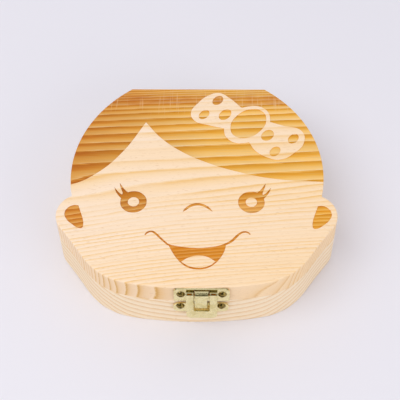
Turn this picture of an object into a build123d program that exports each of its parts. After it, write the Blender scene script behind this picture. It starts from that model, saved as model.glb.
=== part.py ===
from build123d import *
import os

os.makedirs("parts", exist_ok=True)

# Baby tooth box: two boards cut to a child's head, hinged at the back, latched in front.
# Millimetres, X to the right, Y to the back, Z up. The origin is on the floor,
# at the middle of the boards' width and depth.

# Boards
base_height = 19.0
lid_height = 11.5
edge_round = 0.45
corner_round = 1.0
back_y = 58.7
back_half = 33.5
head_x = 55.9
head_y = 29.0
notch_x = 58.5
notch_y = -8.7
ear_x = 62.6
ear_y = -26.4
cheek_x = 51.0
cheek_y = -42.5
chin_turn_x = 30.0
chin_turn_y = -56.2
chin_y = -58.8
lid_top = base_height + lid_height

# Wells for the milk teeth and the two trays between them
well_count = 20
well_diameter = 11.0
well_depth = 10.5
ring_radius = 46.2
tray_width = 25.0
tray_length = 44.0
tray_spacing = 33.0
tray_depth = 13.0
tray_corner = 7.0
first_well_turn = 360 / well_count / 2

# Wood screws, one size for both hinges and the latch
screw_shank = 1.7
screw_length = 6.0
screw_point = 1.6
screw_head = 4.0
hinge_screw_head_height = 0.75
latch_screw_head_height = 1.3
screw_crown_share = 0.62
screw_fit = 0.1

# Butt hinges
hinge_spacing = 43.0
hinge_width = 17.0
hinge_leaf = 0.8
hinge_leaf_height = 9.0
hinge_corner = 1.2
hinge_barrel = 3.0
hinge_pin = 1.4
hinge_running_fit = 0.05
hinge_gap = 0.12
hinge_screw_spacing = 10.0
hinge_screw_share = 0.62
knuckle_share = 1 / 3

# Latch
latch_x = 2.8
latch_stand_off = 0.12
latch_sheet = 0.7
latch_plate_width = 24.8
latch_screw_spacing = 18.4
lid_plate_lift = 2.0
lid_plate_corner = 2.0
lid_plate_foot_corner = 0.8
lid_plate_rim = 0.5
lid_plate_screw_share = 0.59
base_plate_shift = 0.4
base_plate_drop = 0.3
base_plate_height = 7.0
base_plate_corner = 3.0
base_plate_screw_share = 0.7
latch_pin = 1.2
latch_pin_out = 1.9
latch_pin_drop = 2.0
latch_knuckle = 3.4
latch_knuckle_width = 6.0
latch_running_fit = 0.05
flap_width = 13.8
flap_sheet = 0.6
flap_curl = 2.2
flap_curl_slot = 2.1
flap_curl_slot_height = 0.9
flap_curl_slot_tilt = 57
flap_reach = 10.1
flap_foot_out = 2.0
flap_corner = 2.6
flap_window = 7.2
flap_window_reach = 3.9
flap_window_corner = 0.9
catch_width = 5.6
catch_out = 1.9
catch_top_out = 1.6
catch_drop = 3.2
catch_knuckle_gap = 1.55
catch_bend = 0.75
catch_corner = 1.1
catch_foot_corner = 1.3

# Values worked out from the sizes above
hinge_axis_y = back_y + hinge_barrel / 2 + hinge_gap
hinge_centres = (-hinge_spacing / 2, hinge_spacing / 2)
latch_back_y = chin_y - latch_stand_off
latch_pin_y = latch_back_y - latch_pin_out
latch_pin_z = lid_top - latch_pin_drop
base_plate_x = latch_x - base_plate_shift
lid_plate_bottom = base_height + lid_plate_lift
lid_plate_height = lid_top - lid_plate_bottom
base_plate_bottom = base_height - base_plate_drop - base_plate_height
flap_bottom = base_height - flap_reach
flap_window_bottom = base_height - flap_window_reach
catch_ledge_z = base_height - catch_drop
catch_top_z = latch_pin_z - latch_knuckle / 2 - catch_knuckle_gap
pilot_diameter = screw_shank + screw_fit
tray_places = ((-tray_spacing / 2, 0), (tray_spacing / 2, 0))

# Planes looking in from the back and from the front; on both, the second axis is up
back_plane = Plane(origin=(0, back_y, 0), x_dir=(-1, 0, 0), z_dir=(0, 1, 0))
leaf_plane = back_plane.offset(hinge_leaf)
front_plane = Plane(origin=(0, latch_back_y, 0), x_dir=(1, 0, 0), z_dir=(0, -1, 0))
plate_plane = front_plane.offset(latch_sheet)

# The latch from its side: the first axis runs out to the front, the second is up
side_plane = Plane(origin=(latch_x, 0, 0), x_dir=(0, -1, 0), z_dir=(-1, 0, 0))


def leaf_screw_places(centre, height):
    """Two screw places of one hinge leaf, on a plane seen from the back."""
    half = hinge_screw_spacing / 2
    return [(-centre - half, height), (-centre + half, height)]


def plate_screw_places(middle, height):
    """Two screw places of one latch plate, on a plane seen from the front."""
    half = latch_screw_spacing / 2
    return [(middle - half, height), (middle + half, height)]


leaf_screw_rise = hinge_leaf_height * hinge_screw_share
lid_leaf_places = []
base_leaf_places = []
for centre in hinge_centres:
    lid_leaf_places += leaf_screw_places(centre, base_height + leaf_screw_rise)
    base_leaf_places += leaf_screw_places(centre, base_height - leaf_screw_rise)
lid_plate_screw_z = lid_plate_bottom + lid_plate_height * lid_plate_screw_share
base_plate_screw_z = base_plate_bottom + base_plate_height * base_plate_screw_share
lid_plate_places = plate_screw_places(latch_x, lid_plate_screw_z)
base_plate_places = plate_screw_places(base_plate_x, base_plate_screw_z)


# The outline that both boards share: chin, cheek, ear, notch, head and flat back
with BuildSketch() as board_outline:
    with BuildLine():
        chin = TangentArc((0, chin_y), (chin_turn_x, chin_turn_y), tangent=(1, 0))
        cheek = TangentArc(chin @ 1, (cheek_x, cheek_y), tangent=chin % 1)
        under_ear = TangentArc(cheek @ 1, (ear_x, ear_y), tangent=cheek % 1)
        ear = TangentArc(under_ear @ 1, (notch_x, notch_y), tangent=under_ear % 1)
        head = ThreePointArc(ear @ 1, (head_x, head_y), (back_half, back_y))
        Line(head @ 1, (0, back_y))
        mirror(about=Plane.YZ)
    make_face()
    fillet(board_outline.vertices().group_by(Axis.Y)[-1], radius=corner_round)
    notch_corners = board_outline.vertices().filter_by_position(
        Axis.Y, notch_y - corner_round / 2, notch_y + corner_round / 2
    )
    fillet(notch_corners, radius=corner_round / 2)


# Base board, milled with a ring of tooth wells round two trays
with BuildPart() as base_board:
    add(board_outline.sketch)
    extrude(amount=base_height)
    rims = base_board.faces().filter_by(Axis.Z).edges()
    fillet(rims, radius=edge_round)
    with BuildSketch(Plane.XY.offset(base_height)):
        with PolarLocations(ring_radius, well_count, first_well_turn):
            Circle(well_diameter / 2)
    extrude(amount=-well_depth, mode=Mode.SUBTRACT)
    with BuildSketch(Plane.XY.offset(base_height)):
        with Locations(*tray_places):
            RectangleRounded(tray_width, tray_length, tray_corner)
    extrude(amount=-tray_depth, mode=Mode.SUBTRACT)
    with BuildSketch(back_plane):
        with Locations(*base_leaf_places):
            Circle(pilot_diameter / 2)
    extrude(amount=-screw_length, mode=Mode.SUBTRACT)
    with BuildSketch(front_plane):
        with Locations(*base_plate_places):
            Circle(pilot_diameter / 2)
    extrude(amount=-screw_length - latch_stand_off, mode=Mode.SUBTRACT)
base_board.part.label = "base_board"
export_step(base_board.part, "parts/base_board.step")


# Lid board, solid, with the same outline
with BuildPart() as lid_board:
    with Locations((0, 0, base_height)):
        add(board_outline.sketch)
    extrude(amount=lid_height)
    rims = lid_board.faces().filter_by(Axis.Z).edges()
    fillet(rims, radius=edge_round)
    with BuildSketch(back_plane):
        with Locations(*lid_leaf_places):
            Circle(pilot_diameter / 2)
    extrude(amount=-screw_length, mode=Mode.SUBTRACT)
    with BuildSketch(front_plane):
        with Locations(*lid_plate_places):
            Circle(pilot_diameter / 2)
    extrude(amount=-screw_length - latch_stand_off, mode=Mode.SUBTRACT)
lid_board.part.label = "lid_board"
export_step(lid_board.part, "parts/lid_board.step")


# One wood screw: domed head, plain shank and a point, along the plane's normal
def wood_screw(head_height):
    """A screw that points down -Z, with its head's seat at the origin."""
    with BuildPart() as screw:
        with BuildSketch(Plane.XZ):
            with BuildLine():
                rim = (screw_head / 2, 0)
                shoulder_of_head = (screw_head / 3, head_height * screw_crown_share)
                crown = (0, head_height)
                shoulder = (screw_shank / 2, 0)
                taper = (screw_shank / 2, screw_point - screw_length)
                ThreePointArc(crown, shoulder_of_head, rim)
                Polyline(rim, shoulder, taper, (0, -screw_length), crown)
            make_face()
        revolve(axis=Axis.Z)
    return screw.part


hinge_screw = wood_screw(hinge_screw_head_height)
latch_screw = wood_screw(latch_screw_head_height)


def place_screws(screw, plane, places):
    """Copies of a screw, one for each place on a plane."""
    return [plane.location * Location((x, y, 0)) * screw for x, y in places]


screw_groups = (
    ("hinge_lid_screws", hinge_screw, leaf_plane, lid_leaf_places),
    ("hinge_base_screws", hinge_screw, leaf_plane, base_leaf_places),
    ("latch_lid_screws", latch_screw, plate_plane, lid_plate_places),
    ("latch_base_screws", latch_screw, plate_plane, base_plate_places),
)
for group_name, screw, group_plane, group_places in screw_groups:
    group = Compound(children=place_screws(screw, group_plane, group_places))
    group.label = group_name
    export_step(group, "parts/" + group_name + ".step")


# Butt hinge leaf: a flat plate on the board and barrels round the pin
def hinge_leaf_part(centre, direction, barrels):
    """One leaf, standing up (1) or hanging down (-1), with its own barrels."""
    barrel_length = hinge_width * knuckle_share
    plate_start = hinge_barrel / 2 + hinge_gap
    plate_height = hinge_leaf_height - plate_start
    plate_middle = base_height + direction * (plate_start + plate_height / 2)
    tab_middle = base_height + direction * plate_start / 2
    axis = Plane(origin=(centre, hinge_axis_y, base_height), x_dir=(0, 1, 0), z_dir=(1, 0, 0))
    with BuildPart() as leaf:
        with BuildSketch(back_plane):
            with Locations((-centre, plate_middle)):
                Rectangle(hinge_width, plate_height)
        extrude(amount=hinge_leaf)
        for place in barrels:
            middle = place * barrel_length
            with BuildSketch(back_plane):
                with Locations((-centre - middle, tab_middle)):
                    Rectangle(barrel_length - hinge_gap, plate_start)
            extrude(amount=hinge_leaf)
            with BuildSketch(axis.offset(middle)):
                Circle(hinge_barrel / 2)
            extrude(amount=(barrel_length - hinge_gap) / 2, both=True)
        with BuildSketch(axis):
            Circle(hinge_pin / 2 + hinge_running_fit)
        extrude(amount=hinge_width, both=True, mode=Mode.SUBTRACT)
        edge_z = base_height + direction * hinge_leaf_height
        corners = leaf.edges().filter_by(Axis.Y).filter_by_position(
            Axis.Z, edge_z - hinge_gap, edge_z + hinge_gap
        )
        fillet(corners, radius=hinge_corner)
        places = leaf_screw_places(centre, base_height + direction * leaf_screw_rise)
        with BuildSketch(back_plane):
            with Locations(*places):
                Circle(pilot_diameter / 2)
        extrude(amount=hinge_leaf, mode=Mode.SUBTRACT)
    return leaf.part


def hinge_pin_part(centre):
    """The pin of one hinge, as long as its barrels."""
    with BuildPart() as pin:
        with BuildSketch(Plane(origin=(centre, hinge_axis_y, base_height), z_dir=(1, 0, 0))):
            Circle(hinge_pin / 2)
        extrude(amount=hinge_width / 2, both=True)
    return pin.part


for side, centre in zip(("left", "right"), hinge_centres):
    lid_leaf = hinge_leaf_part(centre, 1, (0,))
    lid_leaf.label = "hinge_" + side + "_lid_leaf"
    export_step(lid_leaf, "parts/" + lid_leaf.label + ".step")
    base_leaf = hinge_leaf_part(centre, -1, (-1, 1))
    base_leaf.label = "hinge_" + side + "_base_leaf"
    export_step(base_leaf, "parts/" + base_leaf.label + ".step")
    pin = hinge_pin_part(centre)
    pin.label = "hinge_" + side + "_pin"
    export_step(pin, "parts/" + pin.label + ".step")


# Latch plate on the lid: its middle strip is cut free and rolled up round the latch pin
latch_axis = Plane(origin=(latch_x, latch_pin_y, latch_pin_z), z_dir=(1, 0, 0))
with BuildPart() as latch_lid_plate:
    with BuildSketch(front_plane):
        with Locations((latch_x, lid_plate_bottom + lid_plate_height / 2)):
            Rectangle(latch_plate_width, lid_plate_height)
    extrude(amount=latch_sheet)
    upright = latch_lid_plate.edges().filter_by(Axis.Y)
    fillet(upright.group_by(Axis.Z)[-1], radius=lid_plate_corner)
    upright = latch_lid_plate.edges().filter_by(Axis.Y)
    fillet(upright.group_by(Axis.Z)[0], radius=lid_plate_foot_corner)
    hole_top = lid_top - lid_plate_rim
    hole_bottom = latch_pin_z - latch_knuckle / 2
    with BuildSketch(front_plane) as strip_hole:
        with Locations((latch_x, (hole_top + hole_bottom) / 2)):
            Rectangle(flap_window, hole_top - hole_bottom)
        chamfer(strip_hole.vertices().group_by(Axis.Y)[-1], length=lid_plate_foot_corner)
    extrude(amount=latch_sheet, mode=Mode.SUBTRACT)
    with BuildSketch(front_plane):
        with Locations((latch_x, (hole_bottom + latch_pin_z) / 2)):
            Rectangle(latch_knuckle_width, latch_pin_z - hole_bottom)
    extrude(amount=latch_sheet)
    with BuildSketch(latch_axis):
        Circle(latch_knuckle / 2)
    extrude(amount=latch_knuckle_width / 2, both=True)
    with BuildSketch(latch_axis):
        Circle(latch_pin / 2 + latch_running_fit)
    extrude(amount=latch_knuckle_width, both=True, mode=Mode.SUBTRACT)
    with BuildSketch(front_plane):
        with Locations(*lid_plate_places):
            Circle(pilot_diameter / 2)
    extrude(amount=latch_sheet, mode=Mode.SUBTRACT)
latch_lid_plate.part.label = "latch_lid_plate"
export_step(latch_lid_plate.part, "parts/latch_lid_plate.step")


# Latch pin
with BuildPart() as latch_pin_rod:
    with BuildSketch(latch_axis):
        Circle(latch_pin / 2)
    extrude(amount=flap_width / 2, both=True)
latch_pin_rod.part.label = "latch_pin"
export_step(latch_pin_rod.part, "parts/latch_pin.step")


# Latch flap: two arms rolled round the pin, each roll with a slot, and a cross bar below
pin_middle = (latch_x, latch_pin_y, latch_pin_z)
slot_plane = Plane(origin=pin_middle, x_dir=(1, 0, 0), z_dir=(0, -1, 0)).rotated(
    (-flap_curl_slot_tilt, 0, 0)
)
with BuildPart() as latch_flap:
    curl_y = latch_pin_y - flap_curl / 2
    foot_y = latch_back_y - flap_foot_out
    with BuildSketch(side_plane):
        with BuildLine():
            Polyline(
                (-curl_y - flap_sheet, latch_pin_z),
                (-foot_y, flap_bottom),
                (-foot_y + flap_sheet, flap_bottom),
                (-curl_y, latch_pin_z),
                close=True,
            )
        make_face()
        with Locations((-latch_pin_y, latch_pin_z)):
            Circle(flap_curl / 2)
            Circle(latch_pin / 2 + latch_running_fit, mode=Mode.SUBTRACT)
    extrude(amount=flap_width / 2, both=True)
    flap_rise = latch_pin_z + flap_curl - flap_bottom
    with BuildSketch(front_plane) as flap_face:
        with Locations((latch_x, flap_bottom + flap_rise / 2)):
            Rectangle(flap_width, flap_rise)
        fillet(flap_face.vertices().group_by(Axis.Y)[0], radius=flap_corner)
    extrude(amount=flap_width, mode=Mode.INTERSECT)
    window_rise = flap_rise + flap_bottom - flap_window_bottom
    with BuildSketch(front_plane) as flap_opening:
        with Locations((latch_x, flap_window_bottom + window_rise / 2)):
            Rectangle(flap_window, window_rise)
        fillet(flap_opening.vertices().group_by(Axis.Y)[0], radius=flap_window_corner)
    extrude(amount=flap_width, mode=Mode.SUBTRACT)
    arm_offset = (flap_window + flap_width) / 4
    with BuildSketch(slot_plane):
        with Locations((-arm_offset, 0), (arm_offset, 0)):
            Rectangle(flap_curl_slot, flap_curl_slot_height)
    extrude(amount=flap_curl, mode=Mode.SUBTRACT)
latch_flap.part.label = "latch_flap"
export_step(latch_flap.part, "parts/latch_flap.step")


# Catch: a strip bent out of the base plate below the seam, which rises in the window
with BuildPart() as catch_tongue:
    root = -latch_back_y
    with BuildSketch(side_plane):
        with BuildLine():
            FilletPolyline(
                (root, catch_ledge_z),
                (root + catch_out, catch_ledge_z),
                (root + catch_top_out, catch_top_z),
                radius=catch_bend,
            )
            offset(amount=latch_sheet, side=Side.LEFT)
        make_face()
    extrude(amount=catch_width, both=True)
    with BuildSketch(front_plane) as tongue_face:
        with Locations((base_plate_x, (catch_ledge_z + catch_top_z) / 2)):
            Rectangle(catch_width, catch_top_z - catch_ledge_z)
        fillet(tongue_face.vertices().group_by(Axis.Y)[-1], radius=catch_corner)
        fillet(tongue_face.vertices().group_by(Axis.Y)[0], radius=catch_foot_corner)
    extrude(amount=catch_width, mode=Mode.INTERSECT)


# Base plate of the latch, with the catch
with BuildPart() as latch_base_plate:
    with BuildSketch(front_plane):
        with Locations((base_plate_x, base_plate_bottom + base_plate_height / 2)):
            RectangleRounded(latch_plate_width, base_plate_height, base_plate_corner)
    extrude(amount=latch_sheet)
    add(catch_tongue.part)
    with BuildSketch(front_plane):
        with Locations(*base_plate_places):
            Circle(pilot_diameter / 2)
    extrude(amount=latch_sheet, mode=Mode.SUBTRACT)
latch_base_plate.part.label = "latch_base_plate"
export_step(latch_base_plate.part, "parts/latch_base_plate.step")
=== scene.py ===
import math
import bpy
import bmesh
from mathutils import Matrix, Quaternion, Vector


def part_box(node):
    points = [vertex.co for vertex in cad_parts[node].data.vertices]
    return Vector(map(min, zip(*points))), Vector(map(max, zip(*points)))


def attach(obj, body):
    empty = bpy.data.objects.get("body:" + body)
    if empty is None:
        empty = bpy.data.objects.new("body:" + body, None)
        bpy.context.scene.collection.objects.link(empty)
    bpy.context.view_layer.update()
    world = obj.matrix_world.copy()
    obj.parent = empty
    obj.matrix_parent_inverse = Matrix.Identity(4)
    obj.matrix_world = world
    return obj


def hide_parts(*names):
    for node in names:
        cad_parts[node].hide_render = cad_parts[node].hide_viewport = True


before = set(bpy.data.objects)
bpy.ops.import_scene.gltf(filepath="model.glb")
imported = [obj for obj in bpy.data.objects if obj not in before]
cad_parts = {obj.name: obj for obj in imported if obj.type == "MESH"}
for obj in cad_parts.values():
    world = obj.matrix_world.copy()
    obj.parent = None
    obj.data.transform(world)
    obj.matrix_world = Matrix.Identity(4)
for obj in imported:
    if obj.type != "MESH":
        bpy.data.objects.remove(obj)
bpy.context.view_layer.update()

# Base board: one piece of pine, flat-sawn, 19 mm thick, sawn to a child's head and milled with
# wells for the milk teeth. It is bare and finely sanded, so the grain shows but hardly shines.
# The grain runs across the face. The sawn sides show the same rings, cut along their length.
mm = 0.001


def from_hex(code):
    """A written sRGB colour, such as FDDDB0, as the linear colour that a shader takes."""
    channels = [int(code[place : place + 2], 16) / 255 for place in (0, 2, 4)]
    linear = [c / 12.92 if c <= 0.04045 else ((c + 0.055) / 1.055) ** 2.4 for c in channels]
    return (*linear, 1.0)


def add_node(tree, kind, settings, inputs):
    """Adds one node, sets its properties, and fills its inputs with values or with links."""
    made = tree.nodes.new(kind)
    for name, value in settings.items():
        setattr(made, name, value)
    for socket, source in inputs.items():
        if isinstance(source, bpy.types.NodeSocket):
            tree.links.new(source, made.inputs[socket])
        else:
            made.inputs[socket].default_value = source
    return made


def set_stops(ramp_node, stops):
    """Gives a colour ramp its stops, each a place from 0 to 1 and a colour or a grey."""
    ramp = ramp_node.color_ramp
    while len(ramp.elements) < len(stops):
        ramp.elements.new(0.5)
    for element, (place, colour) in zip(ramp.elements, stops):
        element.position = place
        element.color = from_hex(colour) if isinstance(colour, str) else (colour,) * 3 + (1.0,)


def board_places(tree):
    """Object coordinates in millimetres, as one vector and as its x, y and z."""
    place = add_node(tree, "ShaderNodeTexCoord", {}, {}).outputs["Object"]
    vector = add_node(
        tree, "ShaderNodeMapping", {}, {"Vector": place, "Scale": (1 / mm, 1 / mm, 1 / mm)}
    ).outputs["Vector"]
    axes = add_node(tree, "ShaderNodeSeparateXYZ", {}, {"Vector": vector})
    return vector, axes.outputs["X"], axes.outputs["Y"], axes.outputs["Z"]


def grain_noise(tree, vector, along, across, detail):
    """Noise drawn out along the grain, with so many spots per millimetre along and across."""
    drawn_out = add_node(
        tree,
        "ShaderNodeVectorMath",
        {"operation": "MULTIPLY"},
        {0: vector, 1: (along, across, across)},
    ).outputs["Vector"]
    return add_node(
        tree, "ShaderNodeTexNoise", {}, {"Vector": drawn_out, "Scale": 1.0, "Detail": detail}
    ).outputs["Fac"]


def through_points(tree, value, points):
    """A smooth curve through points, each a place in millimetres and the value there."""
    low, high = points[0][0], points[-1][0]
    most = max(height for _, height in points)
    share = add_node(
        tree, "ShaderNodeMapRange", {}, {"Value": value, "From Min": low, "From Max": high}
    ).outputs["Result"]
    line = add_node(tree, "ShaderNodeFloatCurve", {}, {"Value": share})
    knots = line.mapping.curves[0].points
    for place, height in points[1:-1]:
        knots.new((place - low) / (high - low), height / most)
    knots[0].location = (0.0, points[0][1] / most)
    knots[-1].location = (1.0, points[-1][1] / most)
    line.mapping.update()
    return add_node(
        tree, "ShaderNodeMath", {"operation": "MULTIPLY"}, {0: line.outputs["Value"], 1: most}
    ).outputs["Value"]


# How rings stray: spots per millimetre along and across them, and their reach in millimetres
ring_strays = ((0.014, 0.06, 2.0), (0.003, 0.24, 1.6))
# A stray goes this many times as far down through the board as it goes across
stray_depth = 6


def wandering(tree, vector, across):
    """Lets the rings stray half a millimetre from their course, and makes some wider."""
    for along, aside, reach in ring_strays:
        drawn_out = add_node(
            tree,
            "ShaderNodeVectorMath",
            {"operation": "MULTIPLY"},
            {0: vector, 1: (along, aside, aside / stray_depth)},
        ).outputs["Vector"]
        stray = add_node(
            tree, "ShaderNodeTexNoise", {}, {"Vector": drawn_out, "Scale": 1.0, "Detail": 1.5}
        ).outputs["Fac"]
        stray = add_node(
            tree, "ShaderNodeMath", {"operation": "SUBTRACT"}, {0: stray, 1: 0.5}
        ).outputs["Value"]
        across = add_node(
            tree, "ShaderNodeMath", {"operation": "MULTIPLY_ADD"}, {0: stray, 1: reach, 2: across}
        ).outputs["Value"]
    return across


# Each ring takes its strength from a row of its own in a noise, and changes slowly on its way
ring_row_gap = 5.3
change_per_mm = 0.012


def ring_parts(tree, count, x):
    """How far into its ring a place is, and a strength that is the ring's own."""
    phase = add_node(tree, "ShaderNodeMath", {"operation": "FRACT"}, {0: count}).outputs["Value"]
    number = add_node(tree, "ShaderNodeMath", {"operation": "FLOOR"}, {0: count}).outputs["Value"]
    far_apart = add_node(
        tree, "ShaderNodeMath", {"operation": "MULTIPLY"}, {0: number, 1: ring_row_gap}
    ).outputs["Value"]
    slow = add_node(
        tree, "ShaderNodeMath", {"operation": "MULTIPLY"}, {0: x, 1: change_per_mm}
    ).outputs["Value"]
    seat = add_node(tree, "ShaderNodeCombineXYZ", {}, {"X": slow, "Y": far_apart})
    strength = add_node(
        tree, "ShaderNodeTexNoise", {}, {"Vector": seat.outputs["Vector"], "Scale": 1.0}
    ).outputs["Fac"]
    return phase, strength


def frayed(tree, phase, fibres, reach):
    """Lets the fibres roughen the edge of the late wood."""
    lifted = add_node(
        tree, "ShaderNodeMath", {"operation": "SUBTRACT"}, {0: fibres, 1: 0.5}
    ).outputs["Value"]
    return add_node(
        tree, "ShaderNodeMath", {"operation": "MULTIPLY_ADD"}, {0: lifted, 1: reach, 2: phase}
    ).outputs["Value"]


def finish_wood(tree, colour, height, strength, roughness):
    """Joins a wood's colour and relief to the shader of a bare, sanded board."""
    shader = tree.nodes["Principled BSDF"]
    shader.inputs["Roughness"].default_value = roughness
    shader.inputs["Specular IOR Level"].default_value = 0.25
    relief = add_node(
        tree, "ShaderNodeBump", {}, {"Height": height, "Strength": strength, "Distance": 0.1 * mm}
    )
    tree.links.new(relief.outputs["Normal"], shader.inputs["Normal"])
    tree.links.new(colour, shader.inputs["Base Color"])


def bare_pine(tree, vector, x, count, warmth, contrast, side, plain, ring_stops, side_stops):
    """Bare pine: cream early wood, tan late wood at each ring's end, fibres and resin canals.

    On a sawn side the late wood shows darker than on the sanded face.
    """
    # Fibres are 0.03 mm wide, too fine to show, so they are drawn ten times as coarse
    fibres = grain_noise(tree, vector, along=0.08, across=3.0, detail=3.0)
    phase, strength = ring_parts(tree, count, x)
    phase = frayed(tree, phase, fibres, reach=0.3)
    late = add_node(tree, "ShaderNodeValToRGB", {}, {"Fac": phase})
    set_stops(late, ring_stops)
    shown = add_node(
        tree,
        "ShaderNodeMapRange",
        {},
        {"Value": strength, "From Min": 0.38, "From Max": 0.62, "To Min": 0.15, "To Max": 1.0},
    ).outputs["Result"]
    shown = add_node(
        tree, "ShaderNodeMath", {"operation": "MULTIPLY"}, {0: shown, 1: contrast}
    ).outputs["Value"]
    face = add_node(
        tree,
        "ShaderNodeMix",
        {"data_type": "RGBA"},
        {"Factor": shown, "A": from_hex(plain), "B": late.outputs["Color"]},
    ).outputs[2]
    sawn = add_node(tree, "ShaderNodeValToRGB", {}, {"Fac": phase})
    set_stops(sawn, side_stops)
    ringed = add_node(
        tree,
        "ShaderNodeMix",
        {"data_type": "RGBA"},
        {"Factor": side, "A": face, "B": sawn.outputs["Color"]},
    ).outputs[2]
    warmed = add_node(
        tree,
        "ShaderNodeMix",
        {"data_type": "RGBA", "blend_type": "MULTIPLY"},
        {"Factor": warmth, "A": ringed, "B": from_hex("FFF6DF")},
    ).outputs[2]
    # Resin canals, 1 to 2 mm long and 0.2 mm wide
    canals = grain_noise(tree, vector, along=0.5, across=3.2, detail=0.0)
    fleck = add_node(
        tree,
        "ShaderNodeMapRange",
        {},
        {"Value": canals, "From Min": 0.7, "From Max": 0.8, "To Min": 0.0, "To Max": 0.5},
    ).outputs["Result"]
    flecked = add_node(
        tree,
        "ShaderNodeMix",
        {"data_type": "RGBA"},
        {"Factor": fleck, "A": warmed, "B": from_hex("E0B98A")},
    ).outputs[2]
    shade = add_node(tree, "ShaderNodeValToRGB", {}, {"Fac": fibres})
    set_stops(shade, [(0.3, 0.945), (0.5, 0.985), (0.7, 1.0)])
    colour = add_node(
        tree,
        "ShaderNodeMix",
        {"data_type": "RGBA", "blend_type": "MULTIPLY"},
        {"Factor": 1.0, "A": flecked, "B": shade.outputs["Color"]},
    ).outputs[2]
    finish_wood(tree, colour, height=fibres, strength=0.2, roughness=0.55)


base_pine = bpy.data.materials.new("flat_sawn_pine")
base_pine.use_nodes = True
tree = base_pine.node_tree
vector, x, y, z = board_places(tree)
# The rings are highest 36 mm in front of the middle, and dip towards the chin and the back. Each
# place gives how far a ring has dipped there, in millimetres.
ring_dip = [
    (-62.0, 17.0),
    (-58.8, 13.4),
    (-58.1, 12.0),
    (-57.7, 11.6),
    (-56.9, 10.6),
    (-55.8, 8.7),
    (-53.9, 6.3),
    (-51.0, 3.9),
    (-47.1, 1.6),
    (-42.4, 0.5),
    (-36.0, 0.0),
    (-24.0, 1.0),
    (-10.0, 4.5),
    (5.0, 10.5),
    (25.0, 20.0),
    (62.0, 40.0),
]
ring_spacing = 3.65
first_ring = 0.66
# They rise this much for each millimetre to the right
ring_rise = 0.006
level = add_node(
    tree, "ShaderNodeMath", {"operation": "MULTIPLY_ADD"}, {0: x, 1: -ring_rise, 2: z}
).outputs["Value"]
dip = through_points(tree, y, ring_dip)
across = add_node(
    tree, "ShaderNodeMath", {"operation": "ADD"}, {0: level, 1: dip}
).outputs["Value"]
across = wandering(tree, vector, across)
count = add_node(
    tree,
    "ShaderNodeMath",
    {"operation": "MULTIPLY_ADD"},
    {0: across, 1: 1 / ring_spacing, 2: first_ring},
).outputs["Value"]
bare_pine(
    tree,
    vector,
    x,
    count,
    warmth=0.2,
    contrast=1.0,
    side=0.85,
    plain="FBE6CC",
    ring_stops=[(0.0, "FCEBD4"), (0.35, "FAE6CC"), (0.7, "F5DBB8"), (0.9, "EAC898"), (0.97, "F7DFC0")],
    side_stops=[
        (0.0, "FCEBD2"),
        (0.48, "FAE6C8"),
        (0.72, "F5DAB2"),
        (0.86, "E9C38C"),
        (0.95, "F6DEBC"),
    ],
)
base_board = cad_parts["base_board"]
base_board.data.materials.clear()
base_board.data.materials.append(base_pine)


# Lid board: the same outline in quarter-sawn pine, 11.5 mm thick. The hair, the eyes, the nose,
# the mouth and the ears are burnt a quarter of a millimetre deep by a laser, which leaves the
# wood orange brown and striped, and darkest in the late wood at each ring's end.
lid_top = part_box("lid_board")[1].z
engraving_depth = 0.25 * mm

# How many rings lie in front of a place at the middle of the lid, as (millimetres, rings)
ring_shape = [
    (-62.0, 0.0),
    (-58.5, 0.2),
    (-57.5, 0.9),
    (-55.3, 1.9),
    (-53.2, 2.9),
    (-51.3, 3.9),
    (-49.4, 4.9),
    (-47.6, 5.9),
    (-45.8, 6.9),
    (-43.8, 7.9),
    (-41.9, 8.9),
    (-40.1, 9.9),
    (-38.4, 10.9),
    (-36.5, 11.9),
    (-34.4, 12.9),
    (-12.5, 23.0),
    (-9.5, 24.0),
    (-6.0, 25.0),
    (1.9, 26.0),
    (8.9, 27.0),
    (15.0, 28.0),
    (21.8, 29.0),
    (26.3, 30.0),
    (31.4, 31.0),
    (36.0, 32.0),
    (40.2, 33.0),
    (44.0, 34.0),
    (47.0, 35.0),
    (49.9, 36.0),
    (52.4, 37.0),
    (54.3, 38.0),
    (55.9, 39.0),
    (57.3, 40.0),
    (64.0, 44.0),
]
# How steeply the rings run towards the back on their way to the right, at each y
ring_slopes = [
    (-62.0, 0.105),
    (-20.0, 0.11),
    (-12.0, 0.125),
    (-5.0, 0.15),
    (5.0, 0.10),
    (20.0, 0.065),
    (40.0, 0.055),
    (62.0, 0.03),
]
# How far the rings of the face have bent forwards, at each x, and for what share of it at each y
ring_bow = [
    (-66.0, 4.0),
    (-48.0, 2.7),
    (-32.0, 1.2),
    (-16.0, 0.3),
    (0.0, 0.0),
    (24.0, 0.15),
    (48.0, 0.7),
    (66.0, 1.3),
]
bowed_share = [(-62.0, 1.0), (-14.0, 1.0), (-2.0, 0.4), (6.0, 0.0), (62.0, 0.0)]
# How far the rings lean forwards for each millimetre down: just below the top of the left half,
# and the change in it for each millimetre to the right of the middle and for each one down
top_lean = 0.075
lean_change_right = 0.0055
lean_change_down = -0.0068


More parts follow.
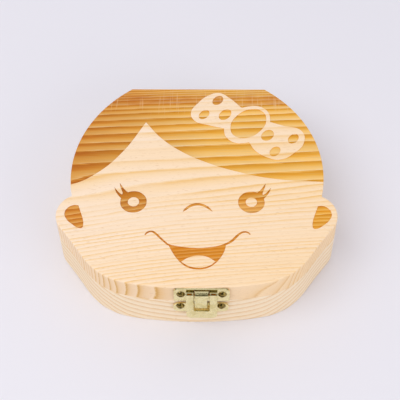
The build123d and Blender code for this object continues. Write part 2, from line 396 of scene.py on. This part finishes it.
def lid_rings(tree, vector, x, y, z):
    """Counts the rings from the chin to the back, leaning and bowed through the thickness."""
    slope = through_points(tree, y, ring_slopes)
    drift = add_node(
        tree, "ShaderNodeMath", {"operation": "MULTIPLY"}, {0: slope, 1: x}
    ).outputs["Value"]
    across = add_node(
        tree, "ShaderNodeMath", {"operation": "SUBTRACT"}, {0: y, 1: drift}
    ).outputs["Value"]
    bow = through_points(tree, x, ring_bow)
    share = through_points(tree, y, bowed_share)
    across = add_node(
        tree, "ShaderNodeMath", {"operation": "MULTIPLY_ADD"}, {0: bow, 1: share, 2: across}
    ).outputs["Value"]
    depth = add_node(
        tree, "ShaderNodeMath", {"operation": "SUBTRACT"}, {0: lid_top / mm, 1: z}
    ).outputs["Value"]
    right = add_node(
        tree, "ShaderNodeMath", {"operation": "MAXIMUM"}, {0: x, 1: 0.0}
    ).outputs["Value"]
    lean = add_node(
        tree,
        "ShaderNodeMath",
        {"operation": "MULTIPLY_ADD"},
        {0: right, 1: lean_change_right, 2: top_lean},
    ).outputs["Value"]
    lean = add_node(
        tree,
        "ShaderNodeMath",
        {"operation": "MULTIPLY_ADD"},
        {0: depth, 1: lean_change_down, 2: lean},
    ).outputs["Value"]
    across = add_node(
        tree, "ShaderNodeMath", {"operation": "MULTIPLY_ADD"}, {0: depth, 1: lean, 2: across}
    ).outputs["Value"]
    return through_points(tree, wandering(tree, vector, across), ring_shape)


lid_pine = bpy.data.materials.new("quarter_sawn_pine")
lid_pine.use_nodes = True
tree = lid_pine.node_tree
vector, x, y, z = board_places(tree)
# The chin, the right cheek and the forehead are a little yellower, and the forehead's wide rings
# end in strong yellow bands
warmth = through_points(
    tree, y, [(-62, 0.6), (-46, 0.5), (-22, 0.2), (-8, 0.5), (14, 0.5), (26, 0.25), (62, 0.15)]
)
warmer_right = 0.005
warmth = add_node(
    tree, "ShaderNodeMath", {"operation": "MULTIPLY_ADD"}, {0: x, 1: warmer_right, 2: warmth}
).outputs["Value"]
contrast = through_points(
    tree, y, [(-62, 1.0), (-24, 1.0), (-15, 0.85), (-6, 1.5), (18, 1.6), (28, 1.2), (62, 1.1)]
)
# The sawn side shows its darker rings from just below the top, and most to the latch's left
side_starts = lid_top / mm - 0.4
side_is_full = lid_top / mm - 1.2
low_side = add_node(
    tree,
    "ShaderNodeMapRange",
    {},
    {
        "Value": z,
        "From Min": side_is_full,
        "From Max": side_starts,
        "To Min": 1.0,
        "To Max": 0.0,
    },
).outputs["Result"]
left_more = through_points(
    tree, x, [(-66, 0.4), (-47, 0.6), (-40, 0.9), (-15, 1.0), (15, 0.45), (66, 0.4)]
)
side = add_node(
    tree, "ShaderNodeMath", {"operation": "MULTIPLY"}, {0: low_side, 1: left_more}
).outputs["Value"]
bare_pine(
    tree,
    vector,
    x,
    lid_rings(tree, vector, x, y, z),
    warmth=warmth,
    contrast=contrast,
    side=side,
    plain="FDE4C5",
    ring_stops=[(0.0, "FEE9D1"), (0.3, "FEE6CA"), (0.66, "FCDEB4"), (0.88, "F4C988"), (0.96, "FCE0B9")],
    side_stops=[(0.0, "FAE0C2"), (0.5, "F4D6B0"), (0.76, "EDC894"), (0.9, "D6A24E"), (0.96, "F0D0A0")],
)


def burnt_pine(name, orange_stops, brown_stops):
    """Laser-burnt pine: banded by its rings, browner on the left and at the back."""
    wood = bpy.data.materials.new(name)
    wood.use_nodes = True
    tree = wood.node_tree
    vector, x, y, z = board_places(tree)
    streaks = grain_noise(tree, vector, along=0.07, across=2.2, detail=4.0)
    phase, strength = ring_parts(tree, lid_rings(tree, vector, x, y, z), x)
    phase = frayed(tree, phase, streaks, reach=0.75)
    orange = add_node(tree, "ShaderNodeValToRGB", {}, {"Fac": phase})
    set_stops(orange, orange_stops)
    brown = add_node(tree, "ShaderNodeValToRGB", {}, {"Fac": phase})
    set_stops(brown, brown_stops)
    side = add_node(
        tree, "ShaderNodeMapRange", {}, {"Value": x, "From Min": 5.0, "From Max": -58.0}
    ).outputs["Result"]
    toned = add_node(
        tree,
        "ShaderNodeMix",
        {"data_type": "RGBA"},
        {"Factor": side, "A": orange.outputs["Color"], "B": brown.outputs["Color"]},
    ).outputs[2]
    shown = add_node(
        tree,
        "ShaderNodeMapRange",
        {},
        {"Value": strength, "From Min": 0.3, "From Max": 0.7, "To Min": 0.92, "To Max": 1.05},
    ).outputs["Result"]
    toned = add_node(
        tree,
        "ShaderNodeMix",
        {"data_type": "RGBA", "blend_type": "MULTIPLY"},
        {"Factor": 1.0, "A": toned, "B": shown},
    ).outputs[2]
    # The lower halves of the eyes came out lighter, most in the right one, and the mouth oranger
    mouth_top = -25.0
    low_eyes = through_points(
        tree, y, [(-62, 0.24), (-16, 0.22), (-12, 0.12), (-9.5, 0.0), (62, 0.0)]
    )
    eye_band = through_points(
        tree,
        x,
        [
            (-66, 0.0),
            (-42, 0.0),
            (-36, 0.4),
            (0, 0.4),
            (22, 1.0),
            (36, 1.0),
            (42, 0.0),
            (66, 0.0),
        ],
    )
    mouth_orange = through_points(
        tree, y, [(-62, 0.38), (-36, 0.38), (-30, 0.1), (mouth_top, 0.0), (62, 0.0)]
    )
    low_eyes = add_node(
        tree, "ShaderNodeMath", {"operation": "MULTIPLY"}, {0: low_eyes, 1: eye_band}
    ).outputs["Value"]
    above_mouth = add_node(
        tree, "ShaderNodeMath", {"operation": "GREATER_THAN"}, {0: y, 1: mouth_top}
    ).outputs["Value"]
    low_eyes = add_node(
        tree, "ShaderNodeMath", {"operation": "MULTIPLY"}, {0: low_eyes, 1: above_mouth}
    ).outputs["Value"]
    for share, tone in ((low_eyes, "FFD286"), (mouth_orange, "DA7E04")):
        toned = add_node(
            tree,
            "ShaderNodeMix",
            {"data_type": "RGBA"},
            {"Factor": share, "A": toned, "B": from_hex(tone)},
        ).outputs[2]
    # The close rings at the back are burnt to a blotched, reddish brown band
    band = through_points(
        tree, y, [(40, 0.0), (47, 0.15), (49.5, 0.9), (53, 0.9), (55.5, 0.3), (60, 0.2)]
    )
    blotches = grain_noise(tree, vector, along=0.12, across=0.3, detail=3.0)
    band = add_node(
        tree, "ShaderNodeMath", {"operation": "MULTIPLY"}, {0: band, 1: blotches}
    ).outputs["Value"]
    toned = add_node(
        tree,
        "ShaderNodeMix",
        {"data_type": "RGBA"},
        {"Factor": band, "A": toned, "B": from_hex("B85A12")},
    ).outputs[2]
    # Light sanding scratches run across the grain there, 0.8 mm apart and 20 mm long
    turned = add_node(
        tree, "ShaderNodeVectorMath", {"operation": "MULTIPLY"}, {0: vector, 1: (1.3, 0.05, 0.0)}
    ).outputs["Vector"]
    scratches = add_node(
        tree, "ShaderNodeTexNoise", {}, {"Vector": turned, "Scale": 1.0, "Detail": 1.0}
    ).outputs["Fac"]
    scratches = add_node(
        tree,
        "ShaderNodeMapRange",
        {},
        {"Value": scratches, "From Min": 0.6, "From Max": 0.72, "To Max": 0.5},
    ).outputs["Result"]
    where = through_points(tree, y, [(40, 0.0), (45, 0.6), (50, 1.0), (56, 1.0), (60, 0.5)])
    scratches = add_node(
        tree, "ShaderNodeMath", {"operation": "MULTIPLY"}, {0: scratches, 1: where}
    ).outputs["Value"]
    toned = add_node(
        tree,
        "ShaderNodeMix",
        {"data_type": "RGBA"},
        {"Factor": scratches, "A": toned, "B": from_hex("F2C890")},
    ).outputs[2]
    shade = add_node(tree, "ShaderNodeValToRGB", {}, {"Fac": streaks})
    set_stops(shade, [(0.3, 0.86), (0.5, 0.98), (0.7, 1.03)])
    colour = add_node(
        tree,
        "ShaderNodeMix",
        {"data_type": "RGBA", "blend_type": "MULTIPLY"},
        {"Factor": 1.0, "A": toned, "B": shade.outputs["Color"]},
    ).outputs[2]
    finish_wood(tree, colour, height=phase, strength=0.4, roughness=0.7)
    return wood


def keep_only(chosen):
    """Deselects everything, then selects one object and makes it active."""
    bpy.ops.object.select_all(action="DESELECT")
    chosen.select_set(True)
    bpy.context.view_layer.objects.active = chosen


def closed_curve(name, corners):
    """A flat filled outline in millimetres, extruded through the lid's top to be a cutter.

    Each corner is (x, y) for a smooth point, or (x, y, "sharp") for a corner.
    """
    bpy.ops.object.select_all(action="DESELECT")
    data = bpy.data.curves.new(name, "CURVE")
    data.dimensions = "2D"
    data.fill_mode = "BOTH"
    data.extrude = engraving_depth
    data.resolution_u = 16
    line = data.splines.new("BEZIER")
    line.use_cyclic_u = True
    line.bezier_points.add(len(corners) - 1)
    for point, corner in zip(line.bezier_points, corners):
        point.co = (corner[0] * mm, corner[1] * mm, 0)
        kind = "VECTOR" if len(corner) == 3 else "AUTO"
        point.handle_left_type = kind
        point.handle_right_type = kind
    drawn = bpy.data.objects.new(name, data)
    bpy.context.scene.collection.objects.link(drawn)
    drawn.location.z = lid_top
    return to_mesh(drawn)


def to_mesh(drawn):
    """Turns a curve into a closed mesh whose place is in its vertices."""
    keep_only(drawn)
    bpy.ops.object.convert(target="MESH")
    bpy.ops.object.transform_apply(location=True, rotation=True, scale=True)
    bpy.ops.object.mode_set(mode="EDIT")
    bpy.ops.mesh.select_all(action="SELECT")
    bpy.ops.mesh.remove_doubles(threshold=0.005 * mm)
    bpy.ops.mesh.normals_make_consistent(inside=False)
    bpy.ops.object.mode_set(mode="OBJECT")
    return drawn


def ellipse(name, centre, long_half, short_half, tilt):
    """A tilted ellipse as a cutter, its long axis tilt degrees up from the X axis."""
    count = 8
    corners = []
    for step in range(count):
        turn = math.tau * step / count
        along, aside = long_half * math.cos(turn), short_half * math.sin(turn)
        c, s = math.cos(math.radians(tilt)), math.sin(math.radians(tilt))
        corners.append((centre[0] + along * c - aside * s, centre[1] + along * s + aside * c))
    return closed_curve(name, corners)


def combine(body, operation, tools):
    """Applies one boolean with each tool to the body, and removes the tools."""
    for tool in tools:
        keep_only(body)
        change = body.modifiers.new("cut", "BOOLEAN")
        change.object = tool
        change.operation = operation
        change.solver = "EXACT"
        change.material_mode = "TRANSFER"
        bpy.ops.object.modifier_apply(modifier=change.name)
        bpy.data.objects.remove(tool)


def mirrored(corners, middle):
    """The same outline on the other side of the line x = middle, run the other way."""
    return [(2 * middle - corner[0], *corner[1:]) for corner in reversed(corners)]


# The hair reaches past the board's edge, and the bow is left standing in it
hair = closed_curve(
    "hair",
    [
        (-70, -2.6, "sharp"),
        (-59, -2.0),
        (-48.0, 4.4),
        (-36.5, 17.1),
        (-25.6, 36.4, "sharp"),
        (-17.6, 26.2),
        (-7.3, 17.7),
        (6.5, 10.4),
        (19.4, 5.7),
        (34.5, 1.9),
        (59.3, -0.2),
        (70, -0.6, "sharp"),
        (70, 70, "sharp"),
        (-70, 70, "sharp"),
    ],
)
left_loop = closed_curve(
    "left_loop",
    [
        (28, 40, "sharp"),
        (21.4, 46.5, "sharp"),
        (15.8, 52.6),
        (10.6, 56.0),
        (5.0, 54.2),
        (-0.2, 49.0),
        (-3.5, 42.4),
        (-1.2, 37.2),
        (5.5, 34.7),
        (14.0, 32.4, "sharp"),
        (24, 30, "sharp"),
    ],
)
right_loop = closed_curve(
    "right_loop",
    [
        (24, 30, "sharp"),
        (25.0, 24.0, "sharp"),
        (28.3, 18.3),
        (34.3, 14.2),
        (40.0, 13.2),
        (46.7, 17.2),
        (51.7, 23.6),
        (50.9, 31.2),
        (42.0, 34.5),
        (35.4, 37.0, "sharp"),
        (28, 40, "sharp"),
    ],
)
knot_tilt = 50
knot = ellipse("knot", (24.4, 35.3), long_half=13.45, short_half=9.8, tilt=knot_tilt)
knot_middle = ellipse("knot_middle", (25.0, 35.9), long_half=10.6, short_half=7.5, tilt=knot_tilt)
dot_tilt = 54
dots = [
    ellipse("dot", centre, long_half, short_half, dot_tilt)
    for centre, long_half, short_half in (
        ((9.9, 51.0), 3.35, 2.3),
        ((3.1, 41.6), 3.35, 2.2),
        ((13.5, 41.6), 3.9, 2.6),
        ((34.2, 28.3), 3.75, 2.75),
        ((46.7, 26.2), 3.35, 2.25),
        ((37.5, 18.2), 3.3, 2.25),
    )
]
combine(hair, "DIFFERENCE", [left_loop, knot, right_loop])

# Each eye is a ring round a bare pupil, with two lashes on its outer side
eye_middle = -1.95
eye_spacing = 54.9
eye_y = -12.2
eye_radius = 6.15
pupil_radius = 2.62
left_lashes = [
    (-31.0, -9.5, "sharp"),
    (-31.9, -6.9, "sharp"),
    (-33.1, -5.9),
    (-34.15, -4.7),
    (-35.3, -2.9),
    (-36.4, -1.2, "sharp"),
    (-35.9, -3.6),
    (-35.2, -5.6),
    (-34.75, -7.2),
    (-34.9, -8.0, "sharp"),
    (-36.2, -7.05),
    (-37.5, -5.5),
    (-38.75, -3.65, "sharp"),
    (-38.15, -5.95),
    (-37.0, -8.0),
    (-36.1, -9.2),
    (-35.2, -10.3, "sharp"),
    (-32.5, -12.5, "sharp"),
]
eyes = []
for side, lashes in ((-1, left_lashes), (1, mirrored(left_lashes, eye_middle))):
    eye_x = eye_middle + side * eye_spacing / 2
    ring = ellipse("eye", (eye_x, eye_y), eye_radius, eye_radius, 0)
    combine(ring, "UNION", [closed_curve("lashes", lashes)])
    combine(ring, "DIFFERENCE", [ellipse("pupil", (eye_x, eye_y), pupil_radius, pupil_radius, 0)])
    eyes.append(ring)

# The smile's middle line, each point with the line's width there
smile = [
    (-23.3, -30.7, 0.65),
    (-22.0, -29.3, 0.85),
    (-20.5, -28.8, 0.95),
    (-19.0, -29.5, 1.0),
    (-16.4, -32.2, 0.95),
    (-13.8, -34.9, 0.85),
    (-12.4, -36.1, 0.85),
    (-8.2, -37.2, 0.8),
    (-3.4, -37.9, 0.7),
    (0.8, -38.1, 0.7),
    (6.1, -37.7, 0.8),
    (11.0, -36.7, 0.9),
    (13.6, -35.6, 1.05),
    (16.2, -33.9, 1.15),
    (18.0, -31.9, 1.15),
    (19.8, -30.0, 1.0),
    (21.7, -29.0, 0.85),
    (23.4, -29.2, 0.8),
    (24.7, -30.3, 0.55),
]


def ribbon(name, points):
    """A narrow bar of changing width that follows points through the lid's top, as a cutter."""
    bpy.ops.object.select_all(action="DESELECT")
    bpy.ops.curve.primitive_bezier_curve_add(location=(0, 0, lid_top))
    drawn = bpy.context.object
    drawn.name = name
    drawn.data.splines.clear()
    drawn.data.dimensions = "3D"
    steps = 6
    line = drawn.data.splines.new("BEZIER")
    line.bezier_points.add(len(points) - 1)
    for point, place in zip(line.bezier_points, points):
        point.co = (place[0] * mm, place[1] * mm, 0)
        point.handle_left_type = "AUTO"
        point.handle_right_type = "AUTO"
    drawn.data.resolution_u = steps
    keep_only(drawn)
    bpy.ops.object.convert(target="MESH")
    bpy.ops.object.transform_apply(location=True, rotation=True, scale=True)
    middle_line = [vertex.co.copy() for vertex in drawn.data.vertices]
    last = len(middle_line) - 1
    banks = ([], [])
    for place, spot in enumerate(middle_line):
        way = (middle_line[min(place + 1, last)] - middle_line[max(place - 1, 0)]).normalized()
        share = place / last * (len(points) - 1)
        before = min(int(share), len(points) - 2)
        change = (points[before + 1][2] - points[before][2]) * (share - before)
        aside = Vector((-way.y, way.x, 0)) * (points[before][2] + change) / 2 * mm
        banks[0].append(spot + aside)
        banks[1].append(spot - aside)
    outline = banks[0] + banks[1][::-1]
    shape = bmesh.new()
    low = [shape.verts.new(spot - Vector((0, 0, engraving_depth))) for spot in outline]
    face = shape.faces.new(low)
    raised = bmesh.ops.extrude_face_region(shape, geom=[face])["geom"]
    moved = [part for part in raised if isinstance(part, bmesh.types.BMVert)]
    bmesh.ops.translate(shape, verts=moved, vec=(0, 0, 2 * engraving_depth))
    bmesh.ops.recalc_face_normals(shape, faces=shape.faces)
    shape.to_mesh(drawn.data)
    shape.free()
    return drawn


smile_line = ribbon("smile_line", smile)
mouth = closed_curve(
    "mouth",
    [
        (-12.6, -35.9, "sharp"),
        (-8.2, -37.0),
        (-3.4, -37.7),
        (0.8, -37.9),
        (6.1, -37.5),
        (10.9, -36.5),
        (13.7, -35.4, "sharp"),
        (13.1, -38.6),
        (12.2, -41.0),
        (10.9, -43.3),
        (9.2, -45.5),
        (6.8, -47.6),
        (4.2, -48.8),
        (0.9, -49.2),
        (-2.2, -48.7),
        (-4.9, -47.3),
        (-7.0, -45.3),
        (-9.0, -42.7),
        (-10.9, -39.4),
        (-11.9, -37.3),
    ],
)
# The tongue is left standing in the mouth
tongue = closed_curve(
    "tongue",
    [
        (-6.5, -45.1, "sharp"),
        (-2.8, -42.7),
        (1.3, -41.8),
        (5.3, -42.6),
        (8.9, -45.0, "sharp"),
        (5.7, -47.4),
        (1.4, -48.25),
        (-3.0, -47.4),
    ],
)
combine(mouth, "DIFFERENCE", [tongue])

nose = closed_curve(
    "nose",
    [
        (-6.4, -17.9, "sharp"),
        (-5.6, -16.2),
        (-4.0, -14.5),
        (-2.1, -13.3),
        (0.1, -12.8),
        (2.3, -13.1),
        (4.5, -14.1),
        (6.2, -15.6),
        (7.6, -17.8, "sharp"),
        (5.6, -16.35),
        (4.0, -15.2),
        (2.2, -14.4),
        (0.1, -14.2),
        (-1.7, -14.65),
        (-3.4, -15.6),
        (-4.8, -16.85),
    ],
)

# The ears' patches are mirrored about the middle of the head
ear_middle = 0.7
ear_patch = [
    (ear_middle + 55.6, -14.3, "sharp"),
    (ear_middle + 57.8, -14.2),
    (ear_middle + 60.3, -15.6),
    (ear_middle + 61.7, -18.6),
    (ear_middle + 60.6, -22.0),
    (ear_middle + 57.8, -24.9),
    (ear_middle + 54.3, -27.1),
    (ear_middle + 52.9, -26.9),
    (ear_middle + 52.5, -25.2),
    (ear_middle + 52.9, -22.3),
    (ear_middle + 54.3, -18.0),
]
ears = [
    closed_curve("right_ear", ear_patch),
    closed_curve("left_ear", mirrored(ear_patch, ear_middle)),
]

hair_burn = burnt_pine(
    "laser_burnt_pine",
    [
        (0.0, "FDDEA6"),
        (0.07, "F9CE84"),
        (0.4, "F6C369"),
        (0.62, "EDAE3F"),
        (0.9, "DC931F"),
        (0.97, "EFB75A"),
    ],
    [
        (0.0, "EBBA74"),
        (0.07, "E0A350"),
        (0.4, "DA963C"),
        (0.62, "CB7C22"),
        (0.9, "B6620C"),
        (0.97, "CE842C"),
    ],
)
# The thin drawing of the face is burnt slower, and so darker, than the hair
face_burn = burnt_pine(
    "slow_burnt_pine",
    [(0.0, "F3C67A"), (0.1, "E8AC52"), (0.5, "DC9128"), (0.9, "C87808"), (0.97, "DE9C3C")],
    [(0.0, "E4AE68"), (0.1, "D28C3A"), (0.5, "C47418"), (0.9, "AC5A06"), (0.97, "CC8630")],
)
# The ears are burnt a little darker than the hair
ear_burn = burnt_pine(
    "twice_burnt_pine",
    [(0.0, "F8CC78"), (0.1, "F2BA58"), (0.5, "E9A434"), (0.9, "DA880C"), (0.97, "EAA73C")],
    [(0.0, "F0B86E"), (0.1, "E4A24C"), (0.5, "D88A2E"), (0.9, "C66F14"), (0.97, "D89038")],
)


def copy_to_cut(node_name, name, material, flat_within=None):
    """A copy of a piece of the frame, welded and in one material, ready to be cut.

    Faces whose directions differ by less than flat_within become one face.
    """
    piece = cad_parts[node_name].copy()
    piece.data = piece.data.copy()
    piece.name = name
    piece.parent = None
    bpy.context.scene.collection.objects.link(piece)
    for key in list(piece.keys()):
        if key.startswith("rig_"):
            del piece[key]
    keep_only(piece)
    bpy.ops.object.mode_set(mode="EDIT")
    bpy.ops.mesh.select_all(action="SELECT")
    bpy.ops.mesh.remove_doubles(threshold=0.001 * mm)
    if flat_within is not None:
        bpy.ops.mesh.dissolve_limited(angle_limit=flat_within)
    bpy.ops.object.mode_set(mode="OBJECT")
    bpy.ops.mesh.customdata_custom_splitnormals_clear()
    piece.data.materials.clear()
    piece.data.materials.append(material)
    return piece


lid = copy_to_cut("lid_board", "engraved_lid", lid_pine, flat_within=math.radians(0.3))
for burn, cutters in (
    (hair_burn, [hair, knot_middle, *dots]),
    (ear_burn, ears),
    (face_burn, [*eyes, mouth, smile_line, nose]),
):
    for cutter in cutters:
        cutter.data.materials.clear()
        cutter.data.materials.append(burn)
    combine(lid, "DIFFERENCE", cutters)
keep_only(lid)
bpy.ops.object.shade_smooth_by_angle(angle=math.radians(30))
evened = lid.modifiers.new("even_normals", "WEIGHTED_NORMAL")
evened.keep_sharp = True
bpy.ops.object.modifier_apply(modifier=evened.name)
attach(lid, "lid")
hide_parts("lid_board")


# Hinges and latch: two butt hinges and a small hasp of stamped steel sheet, rolled round wire
# pins. The steel is plated with pale brass and tumbled, so its shine is soft and uneven.
def tarnished_brass(name, colour, tarnish, roughness):
    """Brass, solid or as a plating, darker and duller in clouds where fingers touched it."""
    metal = bpy.data.materials.new(name)
    metal.use_nodes = True
    tree = metal.node_tree
    vector = board_places(tree)[0]
    shader = tree.nodes["Principled BSDF"]
    shader.inputs["Metallic"].default_value = 1.0
    # Clouds of tarnish, 2 to 4 mm across
    clouds = add_node(
        tree, "ShaderNodeTexNoise", {}, {"Vector": vector, "Scale": 0.35, "Detail": 4.0}
    ).outputs["Fac"]
    cloud = add_node(
        tree, "ShaderNodeMapRange", {}, {"Value": clouds, "From Min": 0.45, "From Max": 0.8}
    ).outputs["Result"]
    plating = add_node(
        tree,
        "ShaderNodeMix",
        {"data_type": "RGBA"},
        {"Factor": cloud, "A": from_hex(colour), "B": from_hex(tarnish)},
    ).outputs[2]
    added_roughness = 0.12
    dull = add_node(
        tree,
        "ShaderNodeMapRange",
        {},
        {
            "Value": clouds,
            "From Min": 0.3,
            "From Max": 0.7,
            "To Min": roughness,
            "To Max": roughness + added_roughness,
        },
    ).outputs["Result"]
    # Tumbling leaves dents of a few hundredths of a millimetre, drawn 0.4 mm apart to show
    dents = add_node(
        tree, "ShaderNodeTexNoise", {}, {"Vector": vector, "Scale": 2.5, "Detail": 2.0}
    ).outputs["Fac"]
    relief = add_node(
        tree, "ShaderNodeBump", {}, {"Height": dents, "Strength": 0.07, "Distance": 0.04 * mm}
    )
    tree.links.new(plating, shader.inputs["Base Color"])
    tree.links.new(dull, shader.inputs["Roughness"])
    tree.links.new(relief.outputs["Normal"], shader.inputs["Normal"])
    return metal


brass = tarnished_brass("brass_plate", "F5EAB4", "DCCC86", 0.22)
# The pins are brass wire, coloured a darker, redder brown than the plating: painted shade and a painted
# reflection of the warm wood in the slots round them
wire = tarnished_brass("worn_brass_wire", "B8741A", "7A4A12", 0.35)
for name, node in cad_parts.items():
    if name.startswith(("hinge", "latch")) and not name.endswith("screws"):
        node.data.materials.clear()
        node.data.materials.append(wire if name.endswith("pin") else brass)


# Screws: twelve round-headed wood screws of brass-plated steel with a cross recess. The latch's are
# coloured darker than its plates, a painted dark reflection, and the hinges' match their leaves. The
# recess is coloured a mid-tone brass: a painted glint in the dark latch heads and painted shade in the
# pale hinge heads.
# Painted dark reflection: the latch screws' heads are coloured dark to stand for the dark room they
# mirror
latch_screw_brass_painted_reflection = tarnished_brass("dark_brass_plate", "A08A4E", "5A4820", 0.2)
# Painted glint and painted shade: the recess is coloured lighter than the latch heads and darker than
# the hinge heads
recess_painted_glint_and_shade = tarnished_brass("recess_painted_glint_and_shade_metal", "C8B67C", "8A7438", 0.3)
recess_length = 2.5 * mm
recess_width = 0.62 * mm
latch_recess_depth = 0.75 * mm
hinge_recess_depth = 0.5 * mm
# At its bottom a bar keeps these shares of its length and its width
recess_bottom_length = 0.35
recess_bottom_width = 0.5
# The screws of a row stopped at different turns, in degrees
recess_turns = (12, 40, -8, 25)


def cross_bar(place, out_y, depth, facing, turn):
    """One bar of the recess: a wedge that narrows towards the screw's tip."""
    bpy.ops.object.select_all(action="DESELECT")
    bpy.ops.mesh.primitive_cube_add(size=1.0)
    bar = bpy.context.object
    bar.name = "recess_bar"
    bpy.ops.object.mode_set(mode="EDIT")
    bpy.ops.mesh.select_all(action="DESELECT")
    bpy.ops.object.mode_set(mode="OBJECT")
    for face in bar.data.polygons:
        face.select = face.normal.y * facing < -0.5
    bpy.ops.object.mode_set(mode="EDIT")
    bpy.ops.transform.resize(value=(recess_bottom_length, 1.0, recess_bottom_width))
    bpy.ops.object.mode_set(mode="OBJECT")
    bar.scale = (recess_length, 2 * depth, recess_width)
    bar.rotation_euler = (0, math.radians(turn), 0)
    bar.location = (place[0], out_y, place[1])
    bpy.ops.object.transform_apply(location=True, rotation=True, scale=True)
    bar.data.materials.clear()
    bar.data.materials.append(recess_painted_glint_and_shade)
    return bar


def recessed_screws(name, body, columns, facing, metal):
    """A row of screws with a cross punched into each head, facing front (-1) or back (1)."""
    screws = copy_to_cut(name, name.replace("screws", "cross_screws"), metal)
    low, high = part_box(name)
    crown_y = low.y if facing < 0 else high.y
    middle_z = (low.z + high.z) / 2
    depth = latch_recess_depth if facing < 0 else hinge_recess_depth
    bars = []
    for column, turn in zip(columns, recess_turns):
        for square in (0, 90):
            bars.append(cross_bar((column, middle_z), crown_y, depth, facing, turn + square))
    combine(screws, "DIFFERENCE", bars)
    keep_only(screws)
    bpy.ops.object.shade_smooth_by_angle(angle=math.radians(35))
    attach(screws, body)
    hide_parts(name)


for name, body in (
    ("latch_lid_screws", "lid"),
    ("latch_base_screws", "base"),
    ("hinge_lid_screws", "lid"),
    ("hinge_base_screws", "base"),
):
    low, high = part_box(name)
    half_head = (high.z - low.z) / 2
    first, last = low.x + half_head, high.x - half_head
    if name.startswith("latch"):
        recessed_screws(name, body, (first, last), -1, latch_screw_brass_painted_reflection)
    else:
        leaf_low, leaf_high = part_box("hinge_right_lid_leaf")
        inner = leaf_low.x + leaf_high.x - last
        recessed_screws(name, body, (first, -inner, inner, last), 1, brass)


# Floor and backdrop: one plain pale sheet of paper, large enough to fill the picture. The box
# stands on it and leaves its shadow there.
bpy.ops.object.select_all(action="DESELECT")
bpy.ops.mesh.primitive_plane_add(size=4.0, location=(0, 0, 0))
floor = bpy.context.object
floor.name = "paper_floor"
paper = bpy.data.materials.new("white_paper")
paper.use_nodes = True
tree = paper.node_tree
shader = tree.nodes["Principled BSDF"]
shader.inputs["Base Color"].default_value = from_hex("E9E8ED")
shader.inputs["Roughness"].default_value = 0.9
floor.data.materials.append(paper)

# Room and lamps: the room is pale all round for the wood, but what shines sees it dark between
# its low front and its high back. Two soft boxes light the box from the left and the right.
world = bpy.data.worlds.new("studio")
bpy.context.scene.world = world
world.use_nodes = True
tree = world.node_tree
background = tree.nodes["Background"]
room_light = 0.785
background.inputs["Strength"].default_value = room_light
way = add_node(tree, "ShaderNodeTexCoord", {}, {}).outputs["Generated"]
# Its product with a direction runs from -0.5 at the low front to 0.5 at the high back
back_and_up = (0.0, 0.4, 0.3)
height = add_node(
    tree, "ShaderNodeVectorMath", {"operation": "DOT_PRODUCT"}, {0: way, 1: back_and_up}
).outputs["Value"]
height = add_node(
    tree, "ShaderNodeMath", {"operation": "ADD"}, {0: height, 1: 0.5}
).outputs["Value"]
room = add_node(tree, "ShaderNodeValToRGB", {}, {"Fac": height})
set_stops(room, [(0.1, "8A867C"), (0.3, "4A4632"), (0.82, "36321E"), (0.93, "F4F2F8")])
light_path = add_node(tree, "ShaderNodeLightPath", {}, {})
seen = add_node(
    tree,
    "ShaderNodeMix",
    {"data_type": "RGBA"},
    {
        "Factor": light_path.outputs["Is Glossy Ray"],
        "A": from_hex("F4F2F8"),
        "B": room.outputs["Color"],
    },
).outputs[2]
tree.links.new(seen, background.inputs["Color"])


box_middle = Vector((0, 0, 0.02))


def add_lamp(name, place, size, power):
    """A square white soft box turned towards the middle of the wooden box."""
    data = bpy.data.lights.new(name, "AREA")
    data.size = size
    data.energy = power
    data.color = from_hex("FFFFFF")[:3]
    lamp = bpy.data.objects.new(name, data)
    bpy.context.scene.collection.objects.link(lamp)
    lamp.location = place
    aim = box_middle - Vector(place)
    lamp.rotation_euler = aim.to_track_quat("-Z", "Y").to_euler()


add_lamp("soft_box", place=(-0.64, -0.37, 1.1), size=1.0, power=6.2)
add_lamp("front_fill", place=(0.85, -0.85, 0.5), size=0.8, power=2.8)

# Camera: a long lens half a metre away at the front, looking down at 54 degrees, and held with
# a slight roll.
camera_place = Vector((7.623, -284.615, 405.171)) * mm
camera_target = Vector((1.10, 11.26, 0.0)) * mm
camera_roll = math.radians(-0.81)
camera_data = bpy.data.cameras.new("camera")
camera_data.sensor_width = 36.0
camera_data.lens = 89.58
camera_data.clip_start = 0.01
camera = bpy.data.objects.new("camera", camera_data)
bpy.context.scene.collection.objects.link(camera)
camera.location = camera_place
look = (camera_target - camera_place).to_track_quat("-Z", "Y")
camera.rotation_mode = "QUATERNION"
camera.rotation_quaternion = look @ Quaternion((0, 0, 1), camera_roll)
bpy.context.scene.camera = camera
bpy.context.scene.view_settings.view_transform = "Standard"
